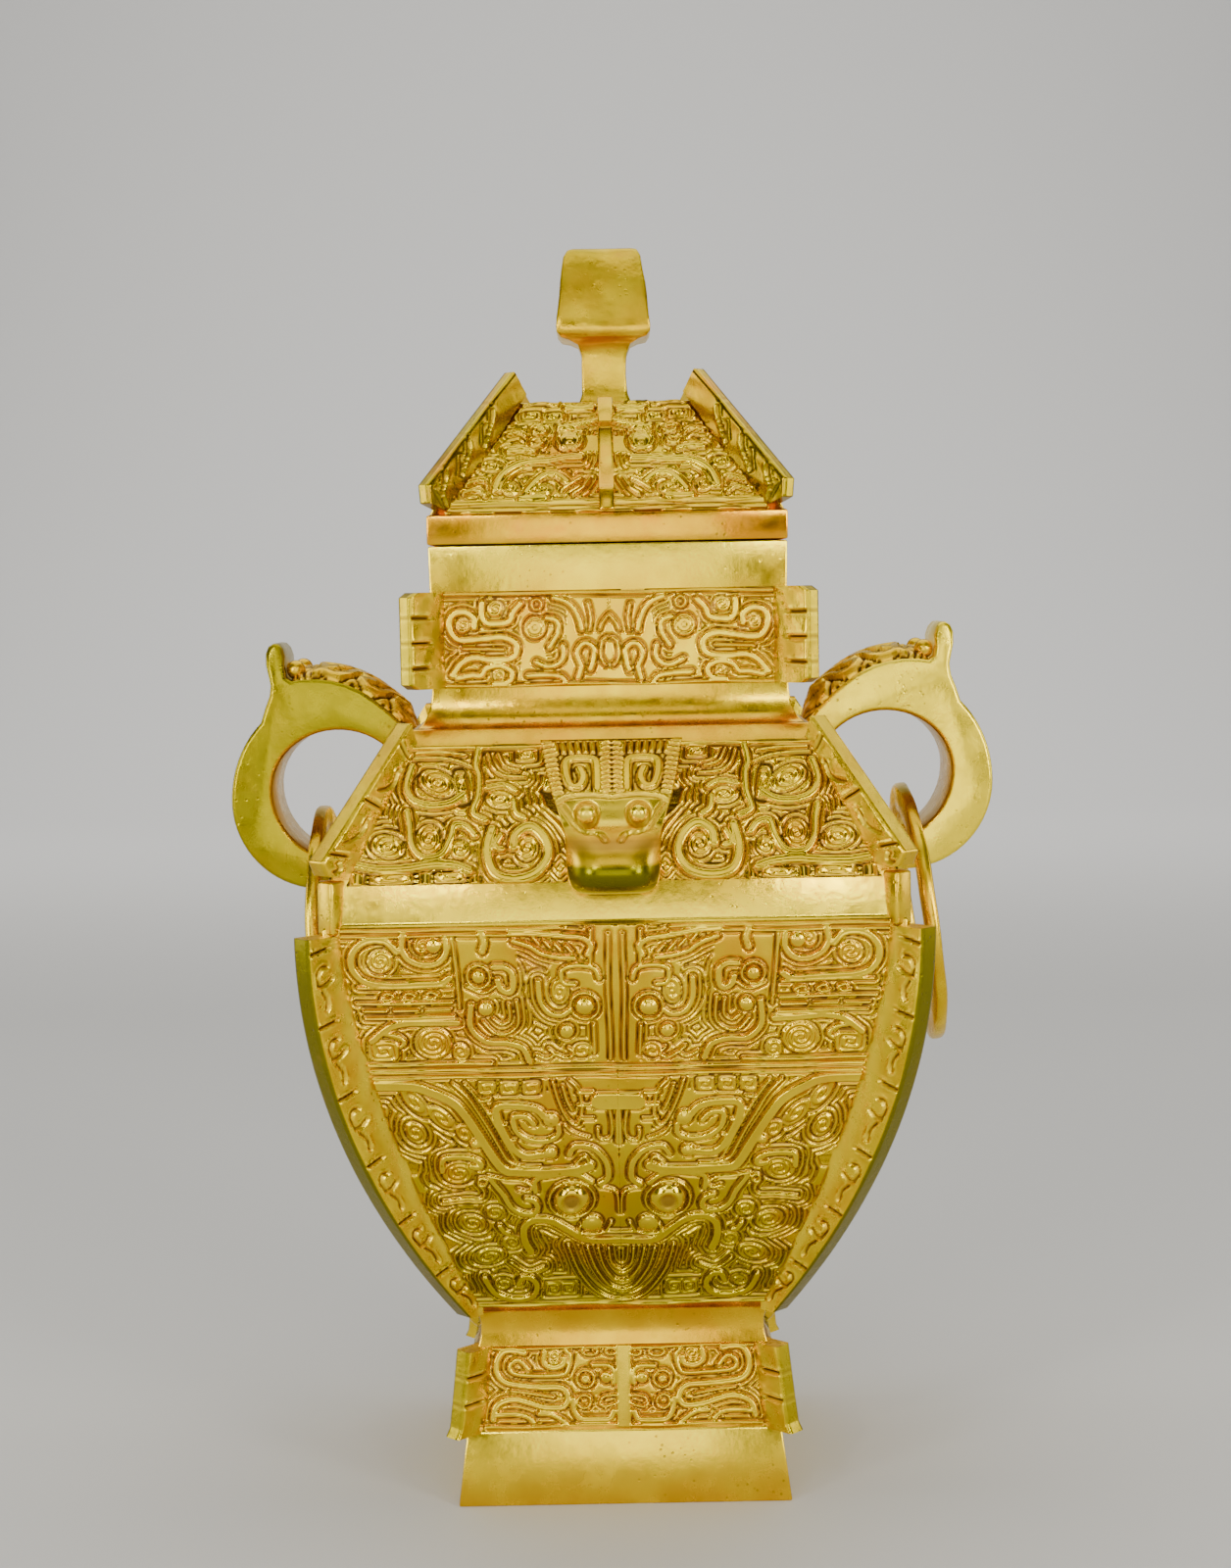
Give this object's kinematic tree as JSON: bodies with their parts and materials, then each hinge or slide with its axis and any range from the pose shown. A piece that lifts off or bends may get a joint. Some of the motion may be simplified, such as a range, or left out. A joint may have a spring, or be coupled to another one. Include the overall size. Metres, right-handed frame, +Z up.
{
  "type": "lidded square bottle",
  "caption": "Square gilt bronze bottle with corner flanges, a roofed lid with a knob, and two side handles holding loose rings.",
  "frame": {"origin": "centre of the foot's underside, on the surface that the bottle stands on", "axes": "+Z up along the bottle's axis, front with the full relief towards -Y, handles and rings towards +X and -X"},
  "size_m": [0.1976, 0.1584, 0.3192],
  "materials": {
    "vessel_body": "fire-gilt bronze, worn to copper on the high edges and greenish where shaded",
    "lid": "fire-gilt bronze, orange-brown in the hollows",
    "ring_left": "gilt bronze, rubbed pale along its edges",
    "ring_right": "gilt bronze, rubbed pale along its edges"
  },
  "bodies": {
    "root": {"vessel_body": "vessel_body", "lid": "lid", "ring_left": "ring_left", "ring_right": "ring_right"}
  },
  "joints": []
}
